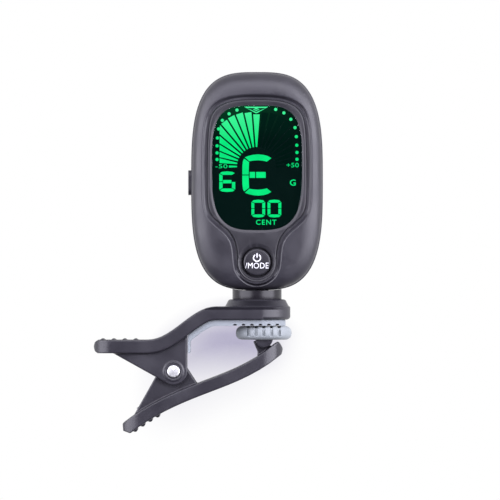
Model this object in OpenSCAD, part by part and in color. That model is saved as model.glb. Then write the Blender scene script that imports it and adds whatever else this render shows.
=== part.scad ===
// Clip-on tuner: a display head on a tilting, turning neck, carried by a sprung clip.
// X runs to the right, Y away from the reader and Z up, in millimetres. The origin is
// on the neck's turning axis, at the gripping face of the upper pad.

/* [Head] */
// Width of the display head
head_w = 30.1; // [29.9:0.1:31]
// Height of the head above its widest line
head_up = 24.7; // [24.6:0.1:25.4]
// Height of the head below its widest line
head_down = 25.1; // [25:0.1:25.4]
// Distance from the turning axis to the front of the crowned face
face_y = 6.5; // [6.4:0.05:6.8]
// Distance from the turning axis to the flat back
back_y = 6.8; // [6.7:0.05:7.2]

/* [Display] */
// Width of the display lens
lens_w = 20.6; // [19.6:0.1:20.8]
// Height of the display lens
lens_h = 28.4; // [27:0.1:28.6]

/* [Buttons] */
// Diameter of the mode button
mode_d = 6.2; // [5.6:0.1:6.4]
// Length of the side button along the edge of the head
side_len = 5.7; // [5:0.1:6]
// How far the side button stands out of the head
side_out = 0.65; // [0.5:0.05:0.8]

/* [Power] */
// Diameter of the coin cell
cell_d = 20; // [19.8:0.1:20]
// Thickness of the coin cell
cell_t = 3.2; // [2.6:0.1:3.2]

/* [Neck] */
// Diameter of the turret under the head
turret_d = 11.2; // [10.8:0.1:11.6]
// Diameter of the tilt pin
tilt_pin_d = 1.8; // [1.6:0.1:2]

/* [Clip] */
// Width of both levers
clip_w = 15; // [14.8:0.1:15.4]
// Thickness of the upper lever
upper_t = 3; // [2.9:0.05:3]
// Thickness of the lower lever
lower_t = 2.85; // [2.7:0.05:3]
// Diameter of the pivot pin
pin_d = 2.9; // [2.7:0.1:3]
// Diameter of the lower pad
pad_d = 12.7; // [12.4:0.1:13]

/* [Spring] */
// Wire diameter of the torsion spring
wire_d = 0.9; // [0.7:0.05:0.95]
// Full turns in the spring's coil, besides the part turn between its legs
coil_turns = 4; // [3:1:4]

/* [Hidden] */
$fn = 64;

// Running gap between parts that turn in each other, and the gap round fitted parts
run_gap = 0.05;
fit_gap = 0.02;
gap = 0.1;
over = 1;

// Heights up the neck
plate_z = 4.4;
boss_z = 6.05;
boss_round = 0.75;
turret_z0 = boss_z + gap;
turret_z1 = 8;
saddle_h = 0.6;
saddle_y = 1.2;
head_z = turret_z1 + gap + head_down;

// Tilt hinge, its turning radius touching the head's bottom and back
tilt_r = 3.8;
tilt_y = back_y - tilt_r;
tilt_z = turret_z1 + gap + tilt_r;
tongue_r = 2.2;
tongue_half = 2.6;
slot_half = tongue_half + gap;

// Layers through the head, from the face to the back
seam_y = -1.4;
wall = 1.6;
cover_inset = 0.25;
cover_in_y = -4.3;
ledge_y = -4.9;
bezel_y0 = -5.3;
bezel_y1 = -4.1;
dish = 0.18;
sink_h = 0.4;
lcd_y0 = -4.05;
lcd_y1 = -2.55;
board_y0 = -0.95;
board_y1 = 0.05;
rear_wall = 2.2;
rear_in_y = back_y - 1.2;
top_round = 2.5;

// Stations up the head
mode_z = head_z - 18.7;
lens_z = head_z + 2.8;
cell_z = head_z + 5;
side_z = head_z - 0.55;
piezo_z = head_z - 12.95;
bezel_z = head_z + 4.8;

// Mode button and its switch
mode_r = mode_d / 2;
mode_hole_r = mode_r + 0.45;
mode_sink_r = mode_hole_r + 0.75;
plunger_r = 0.9;

// Side button, in the wall of the rear cover
side_y = 1.6;
side_t = 2.6;
side_in_x = -head_w / 2 + rear_wall;

// Battery bay
door_w = 22.8;
door_h = 23.6;
door_t = 1.1;
cell_y1 = 5.5;

// Case screws: each is [x, z]
screw_at = [[-8.6, head_z + 20.4], [8.6, head_z + 20.4],
            [-9.2, head_z - 16.6], [9.2, head_z - 16.6]];
screw_r = 0.8;
column_r = 2.4;
post_r = 1.9;

// Upper lever: flat front, a cosine step down, flat grip
lever_front = 7.6;
step_x0 = -9.4;
step_len = 15.6;
step_mid = 0.6;
step_amp = 3.8;
lever_rear = -37.2;
step_n = 14;

// Pivot of the two levers
pivot = [-19, -10.3];
ear_r = 3.15;
upper_ear_y = [5.3, 6.6];
lower_ear_y = [3.9, 5.2];
liner_t = 1.4;

// Pad knuckle on the lower lever
knuckle = [1.6, -2.9];
pad_x = 1.53;
ear_foot_y = [3.6, 4.75];
foot_r = 2;
web_half = 3.4;
pad_z0 = -3.15;
pad_z1 = -0.05;
core_z1 = -0.85;
core_r = 4.8;
rib_pitch = 1.74;

// Spring
coil_r = 2.65;
coil_half = 2.6;
upper_leg = [-29.5, -6.75];
lower_leg = [-27.27, -19.15];

plastic = [0.24, 0.23, 0.27];
steel = [0.8, 0.81, 0.83];

// ---------- shared shapes ----------

// Signed power, for the rounded outlines below
function spow(v, e) = sign(v) * pow(abs(v), e);

// Superelliptic outline, with its own height and squareness above and below z
function oval(w, up, down, z, p_up, p_down, n = 72) =
    [for (i = [0:n - 1])
        let (a = 360 * i / n, high = sin(a) >= 0, p = high ? p_up : p_down)
        [w / 2 * spow(cos(a), 2 / p), z + (high ? up : down) * spow(sin(a), 2 / p)]];

// Rectangle with rounded corners, centred on c
function rounded(c, w, h, r, n = 5) =
    [for (q = [0:3], i = [0:n])
        let (a = 90 * q + 90 * i / n)
        [c[0] + (q == 0 || q == 3 ? 1 : -1) * (w / 2 - r) + r * cos(a),
         c[1] + (q < 2 ? 1 : -1) * (h / 2 - r) + r * sin(a)]];

// Outline in X and Z, thick from y0 to y1
module slab(y0, y1) {
    translate([0, y1, 0]) rotate([90, 0, 0]) linear_extrude(y1 - y0) children();
}

// Outline in Y and Z, thick from x0 to x1
module bar(x0, x1) {
    translate([x0, 0, 0]) rotate([90, 0, 90]) linear_extrude(x1 - x0) children();
}

// Cylinder along Y at c = [x, z]
module ycyl(r, y0, y1, c) {
    translate([c[0], y1, c[1]]) rotate([90, 0, 0]) cylinder(r = r, h = y1 - y0);
}

// Cylinder along X at c = [y, z]
module xcyl(r, x0, x1, c) {
    translate([x0, c[0], c[1]]) rotate([0, 90, 0]) cylinder(r = r, h = x1 - x0);
}

// The same thing on both sides of the XZ plane
module both() {
    children();
    mirror([0, 1, 0]) children();
}

module head_plan(inset) {
    polygon(oval(head_w - 2 * inset, head_up - inset, head_down - inset, head_z, 3.2, 3.25));
}

// Keyhole of the display surround: broad window field, necking to a lobe at the button
module keyhole(y0, y1, inset, lobe_r) {
    slab(y0, y1) polygon(oval(24.5 - 2 * inset, 14.5 - inset, 18.3 - inset, bezel_z, 3.4, 3.5));
    slab(y0, y1)
        polygon([[-8.6 + inset, bezel_z - 15.5], [8.6 - inset, bezel_z - 15.5],
                 [lobe_r + 0.2, mode_z + 4.1], [lobe_r - 0.05, mode_z],
                 [0.05 - lobe_r, mode_z], [-lobe_r - 0.2, mode_z + 4.1]]);
    ycyl(lobe_r, y0, y1, [0, mode_z]);
}

module lens_plan(inset) {
    polygon(oval(lens_w - 2 * inset, lens_h / 2 - inset, lens_h / 2 - inset, lens_z, 3.6, 3.2));
}

// ---------- clip ----------

// Top of the upper lever's step at t from 0 (front) to 1 (rear), d below the surface
function step_point(t, d) =
    let (slope = step_amp * PI / step_len * sin(180 * t), len = norm([slope, 1]))
    [step_x0 - step_len * t + d * slope / len, step_mid + step_amp * cos(180 * t) - d / len];

module upper_profile() {
    rear_z = step_mid - step_amp;
    polygon(concat(
        [[lever_front, plate_z]],
        [for (i = [0:step_n]) step_point(i / step_n, 0)],
        [[lever_rear + 0.9, rear_z], [lever_rear + 0.25, rear_z - 0.5],
         [lever_rear, rear_z - upper_t / 2], [lever_rear + 0.25, rear_z - upper_t + 0.5],
         [lever_rear + 0.9, rear_z - upper_t]],
        [for (i = [step_n:-1:0]) step_point(i / step_n, upper_t)],
        [[lever_front, plate_z - upper_t]]));
}

// Side ear: a disc round the pivot, run out to the points of a lever
module ear(points) {
    polygon(points);
    translate(pivot) circle(ear_r);
}

module upper_jaw() color(plastic) {
    left = 0.98 * ear_r * [-0.4757, -0.8797];
    difference() {
        union() {
            intersection() {
                slab(-clip_w / 2, clip_w / 2) upper_profile();
                translate([0, 0, -20]) linear_extrude(40) {
                    circle(lever_front);
                    polygon(rounded([lever_rear / 2, 0], -lever_rear, clip_w, 4, 12));
                    translate([-10, -clip_w / 2]) square([10, clip_w]);
                }
            }
            rotate_extrude() polygon(concat([[0, plate_z - gap], [7.35, plate_z - gap]],
                [for (a = [10:20:90])
                    [6 + boss_round * cos(a), boss_z - boss_round * (1 - sin(a))]],
                [[0, boss_z]]));
            both() {
                slab(upper_ear_y[0], upper_ear_y[1])
                    ear([[-33.1, -6], pivot + left, pivot, pivot + [0.98 * ear_r, 0],
                         [pivot[0] + 0.98 * ear_r, -1.6], [-19, -4], [-22, -5]]);
                difference() {
                    ycyl(2.25, upper_ear_y[1] - gap, upper_ear_y[1] + 0.25, pivot);
                    ycyl(1.75, upper_ear_y[1], upper_ear_y[1] + over, pivot);
                }
            }
            for (i = [0:3])
                ycyl(0.6, -5.5, 5.5, [-27.7 - 2.5 * i, step_mid - step_amp - 0.25]);
        }
        // Turning bore, and the recess for the washer under the plate
        translate([0, 0, -over]) cylinder(r = 2.6 + run_gap, h = 10);
        translate([0, 0, -over]) cylinder(r = 4.6, h = 2.9 + over);
        ycyl(pin_d / 2 + fit_gap, -clip_w, clip_w, pivot);
        // Chamfer under the round front end
        rotate([0, 0, -80]) rotate_extrude(angle = 160)
            polygon([[lever_front - 0.7, plate_z - upper_t - gap],
                     [lever_front + over, plate_z - upper_t - gap],
                     [lever_front + over, plate_z - upper_t + 1.3]]);
    }
}

// Grey liner: under the front of the upper lever, down its step and along the ears
module upper_pad() color([0.68, 0.7, 0.73]) {
    last = 7;
    under = plate_z - upper_t - fit_gap;
    wall_x = pivot[0] + ear_r + gap;
    difference() {
        intersection() {
            slab(-clip_w / 2 + 0.5, clip_w / 2 - 0.5)
                polygon(concat(
                    [[6.5, under]],
                    [for (i = [0:last - 1]) step_point(i / step_n, upper_t + fit_gap)],
                    [[wall_x, -2.15], [wall_x, -6.2], [wall_x + 0.6, -6.2], [wall_x + 0.6, -3.6]],
                    [for (i = [last:-1:0]) step_point(i / step_n, upper_t + liner_t)],
                    [[6.5, plate_z - upper_t - liner_t]]));
            translate([0, 0, -10]) linear_extrude(20) {
                circle(6.6);
                translate([-30, -6.6]) square([30, 13.2]);
            }
        }
        for (i = [0:5])
            translate([-5 + 1.92 * i, 0, 0]) cube([0.75, clip_w, 0.9], center = true);
    }
}

module pivot_pin() color(steel) {
    end = 7;
    dome = 0.2;
    rotate([90, 0, 0]) translate([pivot[0], pivot[1], 0]) rotate_extrude()
        polygon([[0, -end], [pin_d / 2 - dome, -end], [pin_d / 2, dome - end],
                 [pin_d / 2, end - dome], [pin_d / 2 - dome, end], [0, end]]);
}

// Top edge of the lower lever at x, and the point d below it along its normal
function lower_z(x) =
    let (u = x + 11) -12.1 + 0.38 * u + (u > 0 ? 0.0007 : 0.00035) * pow(u, 3);
function lower_point(x, d) =
    let (u = x + 11, slope = 0.38 + 3 * (u > 0 ? 0.0007 : 0.00035) * u * u,
         len = norm([slope, 1]))
    [x + d * slope / len, lower_z(x) - d / len];

module lower_profile() {
    n = 16;
    rear = -30.6;
    front = 3.3;
    polygon(concat(
        [[5.84, -5], [5.4, -4.25], [5.1, -3.8], [4.7, -3.6]],
        [for (i = [0:n]) let (x = 4 + (rear - 4) * i / n) [x, lower_z(x)]],
        [lower_point(rear, lower_t / 2) - [0.75, 0.55]],
        [for (i = [0:n]) lower_point(rear + (front - rear) * i / n, lower_t)],
        [[5.6, -6.45], [5.87, -5.4]]));
}

module lower_jaw() color(plastic) {
    tangent_left = 0.97 * 3.05 * [-0.873, 0.487];
    tangent_right = 0.97 * 3.05 * [0.855, 0.518];
    difference() {
        union() {
            intersection() {
                slab(-clip_w / 2, clip_w / 2) lower_profile();
                translate([0, 0, -40]) linear_extrude(60)
                    polygon(rounded([-12.8, 0], 37.4, clip_w, 5, 12));
            }
            both() slab(lower_ear_y[0], lower_ear_y[1]) {
                polygon([pivot + tangent_left, [-28.2, -20.6], [-20, -17.2], [-13.4, -14],
                         [-13.7, -13], pivot + tangent_right, pivot]);
                translate(pivot) circle(3.05);
            }
            slab(-web_half, web_half) {
                polygon([[-0.87, -3.55], [0.3, -3.3], [1.6, -3], [2.9, -3.1], [3.1, -5.2],
                         [0.8, -7.2], [0.1, -7], [0.1, -5.8]]);
                translate(knuckle) circle(1.4);
            }
            for (i = [0:3])
                let (p = lower_point(-29.4 + 1.8 * i, lower_t - 0.05)) ycyl(0.6, -5.5, 5.5, p);
        }
        ycyl(pin_d / 2 + run_gap, -clip_w, clip_w, pivot);
        ycyl(0.75, -clip_w, clip_w, knuckle);
        both() ycyl(foot_r + 0.2, web_half, ear_foot_y[1] + 0.3, knuckle);
    }
}

// Room for the lower lever's web inside the pad, over its whole swing
module web_room() {
    slab(-ear_foot_y[0], ear_foot_y[0]) {
        translate(knuckle) circle(1.55);
        intersection() {
            translate(knuckle) circle(2.75);
            polygon([knuckle, knuckle + 5 * [cos(152), sin(152)], [-5, -9], [9, -9],
                     knuckle + [5, 0]]);
        }
    }
}

module pad_foot() color(plastic) {
    difference() {
        union() {
            translate([pad_x, 0, pad_z0 + gap]) cylinder(r = core_r, h = core_z1 - pad_z0 - gap);
            both() ycyl(foot_r, ear_foot_y[0], ear_foot_y[1], knuckle);
        }
        web_room();
    }
    both() ycyl(0.7, 2.2, ear_foot_y[0] + gap, knuckle);
}

module lower_pad() color([0.76, 0.78, 0.79]) {
    r = pad_d / 2;
    h = pad_z1 - pad_z0;
    low_r = 1.3;
    round_r = 1.4;
    difference() {
        translate([pad_x, 0, pad_z0]) rotate_extrude($fn = 96)
            polygon(concat(
                [[0, 0]],
                [for (a = [-90:18:0]) [r - low_r + low_r * cos(a), low_r + low_r * sin(a)]],
                [for (a = [0:18:90])
                    [r - round_r + round_r * cos(a), h - round_r + round_r * sin(a)]],
                [[0, h]]));
        translate([pad_x, 0, pad_z0 - over])
            cylinder(r = core_r + fit_gap, h = core_z1 - pad_z0 + over + fit_gap);
        both() ycyl(foot_r + fit_gap, ear_foot_y[0], ear_foot_y[1] + fit_gap, knuckle);
        for (i = [-2:2]) translate([pad_x + rib_pitch * i, 0, 0]) {
            cube([0.7, pad_d, 1], center = true);
            // Flute down the rim at both ends of the groove
            difference() {
                translate([-0.35, -r, -2.35]) cube([0.7, pad_d, 3]);
                translate([-rib_pitch * i, 0, -5]) cylinder(r = r - 0.55, h = 10);
            }
        }
    }
}

// Torsion spring: leg, coil round the pivot, leg. The wire is swept along its path
function tangent_angle(p, side) =
    let (d = p - pivot) atan2(d[1], d[0]) + side * acos(coil_r / norm(d));

function spring_path() =
    let (a0 = tangent_angle(upper_leg, -1), a1 = tangent_angle(lower_leg, 1) - 360,
         sweep = a0 - a1 + 360 * (coil_turns - 1), n = ceil(sweep / 22))
    concat(
        [[upper_leg[0], -coil_half, upper_leg[1]]],
        [for (i = [0:n])
            let (a = a0 - sweep * i / n)
            [pivot[0] + coil_r * cos(a), coil_half * (2 * i / n - 1),
             pivot[1] + coil_r * sin(a)]],
        [[lower_leg[0], coil_half, lower_leg[1]]]);

module jaw_spring() color(steel) {
    path = spring_path();
    n = len(path);
    sides = 8;
    points = [for (i = [0:n - 1])
        let (t = path[min(i + 1, n - 1)] - path[max(i - 1, 0)],
             u = cross(t, [0, 1, 0]) / norm(cross(t, [0, 1, 0])),
             v = cross(u, t) / norm(t))
        for (k = [0:sides - 1])
            path[i] + wire_d / 2 * (cos(360 * k / sides) * u + sin(360 * k / sides) * v)];
    polyhedron(points, concat(
        [[for (k = [0:sides - 1]) k]],
        [for (i = [0:n - 2], k = [0:sides - 1])
            let (a = i * sides + k, b = i * sides + (k + 1) % sides)
            [b, a, a + sides]],
        [for (i = [0:n - 2], k = [0:sides - 1])
            let (a = i * sides + k, b = i * sides + (k + 1) % sides)
            [b, a + sides, b + sides]],
        [[for (k = [sides - 1:-1:0]) (n - 1) * sides + k]]));
}

// ---------- neck ----------

module neck_post() color(plastic) difference() {
    union() {
        // Turret: its top follows the head's underside in front, and is flat behind
        difference() {
            rotate_extrude() polygon([[0, turret_z0], [turret_d / 2 - 0.2, turret_z0],
                [turret_d / 2, turret_z0 + 0.2], [turret_d / 2, turret_z1 + saddle_h],
                [0, turret_z1 + saddle_h]]);
            slab(-10, 10) head_plan(-gap);
            translate([-10, saddle_y, turret_z1]) cube([20, 20, 5]);
        }
        translate([0, 0, 2.85]) cylinder(r = 2.6, h = turret_z0 - 2.8);
        bar(-tongue_half, tongue_half) {
            translate([tilt_y - tongue_r + gap, turret_z1 - gap])
                square([2 * tongue_r - 2 * gap, tilt_z - turret_z1 + gap]);
            translate([tilt_y, tilt_z]) circle(tongue_r);
        }
    }
    translate([0, 0, 2]) cylinder(r = 0.97, h = 3.8);
    xcyl(tilt_pin_d / 2 + run_gap, -5, 5, [tilt_y, tilt_z]);
}

module swivel_washer() color(steel) difference() {
    translate([0, 0, 2.2]) cylinder(r = 4.3, h = 0.6);
    cylinder(r = 1.05, h = 5);
}

module swivel_screw() color(steel) difference() {
    union() {
        translate([0, 0, 1.45]) cylinder(r = 1.9, h = 0.73);
        translate([0, 0, 2]) cylinder(r = 0.95, h = 3.6);
    }
    for (a = [0, 90]) translate([0, 0, 1.4]) rotate([0, 0, a])
        cube([2.2, 0.5, 0.8], center = true);
}

// ---------- head shells ----------

module front_cover() color(plastic) {
    post_y1 = 0.2;
    difference() {
        union() {
            difference() {
                intersection() {
                    slab(-face_y - over, seam_y) head_plan(cover_inset);
                    translate([0, 110 - face_y, 0]) cylinder(r = 110, h = 70, $fn = 180);
                    translate([-20, 300 - face_y, head_z]) rotate([0, 90, 0])
                        cylinder(r = 300, h = 40, $fn = 360);
                }
                slab(cover_in_y, 0) head_plan(cover_inset + wall);
            }
            for (p = screw_at) ycyl(post_r, cover_in_y - gap, post_y1, p);
        }
        // Display recess, and the opening through its floor
        keyhole(-10, ledge_y, 0, 5.25);
        keyhole(-10, 0, 0.9, 4.65);
        for (p = screw_at) ycyl(screw_r + fit_gap, -3.6, 1, p);
    }
}

// Side view of the rear cover: round about the tilt axis at the bottom, and at the top
module rear_side() {
    top = head_z + head_up;
    polygon(concat(
        [[-8, top + over], [-8, turret_z1 + gap]],
        [for (a = [-90:10:0]) [tilt_y + tilt_r * cos(a), tilt_z + tilt_r * sin(a)]],
        [for (a = [0:15:90])
            [back_y - top_round + top_round * cos(a), top - top_round + top_round * sin(a)]],
        [[0, top + over]]));
}

module rear_cover() color(plastic) {
    ring_r = cell_d / 2 + 1.1;
    difference() {
        intersection() {
            union() {
                difference() {
                    slab(seam_y + run_gap, back_y + over) head_plan(0);
                    slab(seam_y - over, rear_in_y) head_plan(rear_wall);
                }
                // Locating lip inside the front cover
                difference() {
                    slab(-2.1, seam_y + 0.5) head_plan(cover_inset + wall + gap);
                    slab(-3, 0) head_plan(2.45);
                }
                for (p = screw_at) ycyl(column_r, 0.3, rear_in_y + gap, p);
                // Ledge round the battery opening, and the wall round the cell
                slab(back_y - 2.1, rear_in_y + gap)
                    polygon(rounded([0, cell_z], door_w + 2, door_h + 2, 2.5));
                difference() {
                    ycyl(ring_r, 1.2, back_y - 2, [0, cell_z]);
                    translate([-14, 0, cell_z - 8]) cube([4.4, 3.3, 6]);
                    translate([-3.4, 0, cell_z + 8]) cube([6.8, 6, 6]);
                }
                // Block that carries the tilt pin
                translate([-6.6, 0.15, turret_z1 - over]) cube([13.2, 6, tilt_z - 4.1]);
            }
            bar(-20, 20) rear_side();
            slab(-8, 8) head_plan(0);
        }
        // Battery opening: door recess, then the bore for the cell
        slab(back_y - door_t, back_y + over)
            polygon(rounded([0, cell_z], door_w, door_h, 2.1));
        translate([-2.1, back_y - 0.6, cell_z + door_h / 2 - over]) cube([4.2, 2, 2]);
        ycyl(cell_d / 2 + 0.25, 0, back_y, [0, cell_z]);
        // Tilt hinge: slot for the tongue, and the pin's bore
        translate([-slot_half, tilt_y - tongue_r - 0.15, 0])
            cube([2 * slot_half, 20, tilt_z + tongue_r + 0.15]);
        xcyl(tilt_pin_d / 2 + fit_gap, -6.3, 6.3, [tilt_y, tilt_z]);
        // Room for the front cover's posts, then the screws' bores and counterbores
        for (p = screw_at) {
            ycyl(post_r + gap, -3, 0.25, p);
            ycyl(screw_r + gap, -1, back_y, p);
            ycyl(1.6, 4.6, back_y + over, p);
        }
        // Slot for the side button
        bar(-head_w / 2 - over, side_in_x + over)
            polygon(rounded([side_y, side_z], side_t + 2 * gap, side_len + 2 * gap, 1.35));
    }
}

module tilt_pin() color(steel) {
    xcyl(tilt_pin_d / 2, -6.2, 6.2, [tilt_y, tilt_z]);
}

module case_screws() color(steel) for (p = screw_at) difference() {
    union() {
        ycyl(screw_r, -3.4, 4.8, p);
        ycyl(1.45, 4.65, 5.7, p);
    }
    for (a = [0, 90]) translate([p[0], 5.7, p[1]]) rotate([0, a, 0])
        cube([1.9, 0.9, 0.4], center = true);
}

module battery_door() color(plastic) difference() {
    union() {
        slab(back_y - door_t + run_gap, back_y)
            polygon(rounded([0, cell_z], door_w - 2 * gap, door_h - 2 * gap, 2));
        translate([-2, back_y - 0.55, cell_z + door_h / 2 - over]) cube([4, 0.55, 1.9]);
    }
    // Finger grooves
    for (i = [0:3]) translate([0, back_y, cell_z + 5 + 1.4 * i])
        cube([9 - i, 0.7, 0.6], center = true);
}

// ---------- display ----------

module bezel() color([0.16, 0.16, 0.18]) difference() {
    keyhole(bezel_y0, bezel_y1, 0.95, 4.6);
    slab(bezel_y0 - over, 0) lens_plan(0);
    // Shallow dish sloping down to the lens
    translate([0, bezel_y0 + dish, lens_z]) rotate([90, 0, 0])
        linear_extrude(dish + 0.01, scale = 1.07) translate([0, -lens_z]) lens_plan(0);
    ycyl(mode_hole_r, -10, 0, [0, mode_z]);
    // Countersink round the mode button
    translate([0, bezel_y0 - 0.01, mode_z]) rotate([-90, 0, 0])
        cylinder(r1 = mode_sink_r, r2 = mode_hole_r - 0.01, h = sink_h);
}

module lens() color([0.04, 0.07, 0.05])
    slab(bezel_y0 + dish, bezel_y1 - run_gap) lens_plan(run_gap);

module lcd_glass() color([0.1, 0.35, 0.18]) {
    slab(lcd_y0, (lcd_y0 + lcd_y1) / 2) polygon(rounded([0, head_z + 2.5], 21.1, 30.2, 0.4));
    slab((lcd_y0 + lcd_y1) / 2 - gap, lcd_y1)
        polygon(rounded([0, head_z + 3.3], 21.1, 28.6, 0.4));
}

module backlight() color([0.9, 0.93, 0.9])
    slab(lcd_y1 + run_gap, lcd_y1 + 1.05) polygon(rounded([0, head_z + 4.9], 20.4, 26, 0.6));

module zebra_strip() color([0.85, 0.45, 0.55])
    translate([-9.5, lcd_y1 + fit_gap, head_z - 11.9])
        cube([19, board_y0 - lcd_y1 - 2 * fit_gap, 1.4]);

module circuit_board() color([0.1, 0.38, 0.2]) difference() {
    slab(board_y0, board_y1) head_plan(2.6);
    for (p = screw_at) ycyl(post_r + 0.2, -3, 3, p);
}

module controller_chip() color([0.05, 0.05, 0.06])
    translate([-6.2, board_y1 + fit_gap, head_z + 7.8]) rotate([-90, 0, 0]) rotate_extrude()
        polygon(concat([[0, 0]], [for (a = [0:15:90]) [2.6 * cos(a), 1.1 * sin(a)]]));

module crystal() color(steel)
    translate([0, board_y1 + fit_gap, 0]) slab(0, 1.3)
        polygon(rounded([6.3, head_z + 9.8], 5, 2, 0.9));

module capacitors() color([0.72, 0.6, 0.42])
    for (i = [0:2], side = [0, 1])
        translate([5 + 1.6 * i, board_y1 + fit_gap, head_z - 1 + 2.4 * side])
            cube([0.8, 0.75, 1.6]);

// ---------- buttons ----------

module mode_switch() color([0.13, 0.13, 0.14]) difference() {
    slab(-2.85, board_y0 - fit_gap) polygon(rounded([0, mode_z], 5.2, 5.2, 0.5));
    ycyl(plunger_r + gap, -4, -2, [0, mode_z]);
}

module mode_plunger() color([0.55, 0.2, 0.12]) ycyl(plunger_r, -3.48, -2.5, [0, mode_z]);

module mode_button() color([0.19, 0.19, 0.21]) {
    rim = 0.35;
    translate([0, 0, mode_z]) rotate([90, 0, 0]) rotate_extrude()
        polygon([[0, 3.5], [3.9, 3.5], [3.9, 4], [mode_r, 4], [mode_r, 5.75 - rim],
                 [mode_r - 0.1, 5.75 - rim / 2], [mode_r - rim, 5.75], [0, 5.85]]);
}

module side_switch() color([0.13, 0.13, 0.14]) difference() {
    translate([-11.9, board_y1 + fit_gap, side_z - 2]) cube([2.15, 2.8, 4]);
    xcyl(0.7, -13, -11.1, [side_y, side_z]);
}

module side_plunger() color([0.9, 0.9, 0.88])
    xcyl(0.6, side_in_x + 0.52, -11.55, [side_y, side_z]);

module side_button() color([0.19, 0.19, 0.21]) {
    bar(-head_w / 2 - side_out, side_in_x + 0.4)
        polygon(rounded([side_y, side_z], side_t, side_len, 1.25));
    bar(side_in_x + gap, side_in_x + 0.5)
        polygon(rounded([side_y, side_z], side_t + 0.4, side_len + 1.4, 1.3));
}

// ---------- power and pick-up ----------

module coin_cell() color(steel)
    translate([0, cell_y1, cell_z]) rotate([90, 0, 0]) rotate_extrude($fn = 96)
        polygon([[0, 0], [cell_d / 2 - 0.3, 0], [cell_d / 2, 0.3], [cell_d / 2, cell_t - 0.3],
                 [cell_d / 2 - 0.8, cell_t - 0.25], [cell_d / 2 - 1, cell_t], [0, cell_t]]);

module contact_plus() color([0.85, 0.76, 0.5]) {
    z = cell_z + cell_d / 2 + run_gap;
    bar(-3, 3) polygon([[0.1, z], [4.6, z], [4.6, z + 0.2], [0.3, z + 0.2],
                        [0.3, z + 2.2], [0.1, z + 2.2]]);
}

module contact_minus() color([0.85, 0.76, 0.5]) {
    top = cell_y1 - cell_t - run_gap;
    bar(-3.4, 3.4)
        polygon([[0.1, cell_z - 5], [0.3, cell_z - 5], [0.3, cell_z - 2], [top, cell_z + 4.3],
                 [top, cell_z + 5.3], [top - 0.2, cell_z + 5.3], [top - 0.2, cell_z + 4.4],
                 [0.1, cell_z - 1.8]]);
}

module piezo_plate() color([0.83, 0.66, 0.32])
    ycyl(5, rear_in_y - 0.25, rear_in_y - run_gap, [0, piezo_z]);

module piezo_ceramic() color([0.9, 0.89, 0.84])
    ycyl(3.9, rear_in_y - 0.5, rear_in_y - 0.27, [0, piezo_z]);

module piezo_leads() color([0.75, 0.15, 0.12]) {
    ycyl(0.2, board_y1 + fit_gap, rear_in_y - 0.52, [-2, piezo_z + 1]);
    ycyl(0.2, board_y1 + fit_gap, rear_in_y - 0.27, [4.5, piezo_z]);
}

upper_jaw();
upper_pad();
pivot_pin();
jaw_spring();
lower_jaw();
pad_foot();
lower_pad();
neck_post();
swivel_washer();
swivel_screw();
rear_cover();
front_cover();
tilt_pin();
bezel();
lens();
lcd_glass();
backlight();
zebra_strip();
circuit_board();
controller_chip();
crystal();
capacitors();
mode_switch();
side_switch();
coin_cell();
contact_plus();
contact_minus();
piezo_plate();
piezo_ceramic();
piezo_leads();
case_screws();
battery_door();
mode_button();
mode_plunger();
side_button();
side_plunger();
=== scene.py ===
"""Clip-on tuner: the visual model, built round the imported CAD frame.

Lengths are in millimetres and MM turns them to metres. X runs right, Y away from the reader,
Z up.
"""
import math
import bpy
import bmesh
import numpy as np
from mathutils import Matrix, Vector
from mathutils.geometry import delaunay_2d_cdt


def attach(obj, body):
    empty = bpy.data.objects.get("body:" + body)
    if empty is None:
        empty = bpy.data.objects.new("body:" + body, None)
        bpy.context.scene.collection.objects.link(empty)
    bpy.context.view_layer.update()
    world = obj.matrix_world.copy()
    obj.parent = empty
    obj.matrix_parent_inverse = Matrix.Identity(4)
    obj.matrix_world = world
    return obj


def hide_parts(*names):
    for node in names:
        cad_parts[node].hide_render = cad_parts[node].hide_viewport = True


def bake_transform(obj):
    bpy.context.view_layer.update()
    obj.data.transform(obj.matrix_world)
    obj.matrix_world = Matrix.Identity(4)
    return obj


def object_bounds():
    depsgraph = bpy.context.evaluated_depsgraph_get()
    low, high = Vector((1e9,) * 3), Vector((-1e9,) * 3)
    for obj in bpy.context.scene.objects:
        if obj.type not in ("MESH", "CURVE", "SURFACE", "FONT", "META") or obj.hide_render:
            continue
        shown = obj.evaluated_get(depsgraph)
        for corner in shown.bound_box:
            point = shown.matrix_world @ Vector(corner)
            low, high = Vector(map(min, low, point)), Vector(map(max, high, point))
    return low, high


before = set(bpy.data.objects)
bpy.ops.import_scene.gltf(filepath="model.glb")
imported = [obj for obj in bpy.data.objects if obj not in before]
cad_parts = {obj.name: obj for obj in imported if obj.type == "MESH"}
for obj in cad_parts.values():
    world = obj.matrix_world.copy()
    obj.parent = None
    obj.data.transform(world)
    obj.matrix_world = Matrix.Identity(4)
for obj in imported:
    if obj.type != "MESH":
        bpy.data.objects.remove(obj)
cad_bounds = [list(v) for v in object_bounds()]
scene = bpy.context.scene
MM = 0.001

# ---------- materials ----------


def add_node(tree, kind, values=None):
    """Shader node of a kind, some of its inputs set."""
    node = tree.nodes.new("ShaderNode" + kind)
    for name, value in (values or {}).items():
        node.inputs[name].default_value = value
    return node


def new_material(name):
    """Material with an empty tree but for its output."""
    mat = bpy.data.materials.new(name)
    mat.use_nodes = True
    tree = mat.node_tree
    tree.nodes.clear()
    out = add_node(tree, "OutputMaterial")
    return mat, tree, out


def link(tree, a, b):
    tree.links.new(a, b)


def noise(tree, coords, scale, detail=3.0, rough=0.5):
    n = add_node(tree, "TexNoise", {"Scale": scale, "Detail": detail, "Roughness": rough})
    link(tree, coords, n.inputs["Vector"])
    return n.outputs["Fac"]


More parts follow.
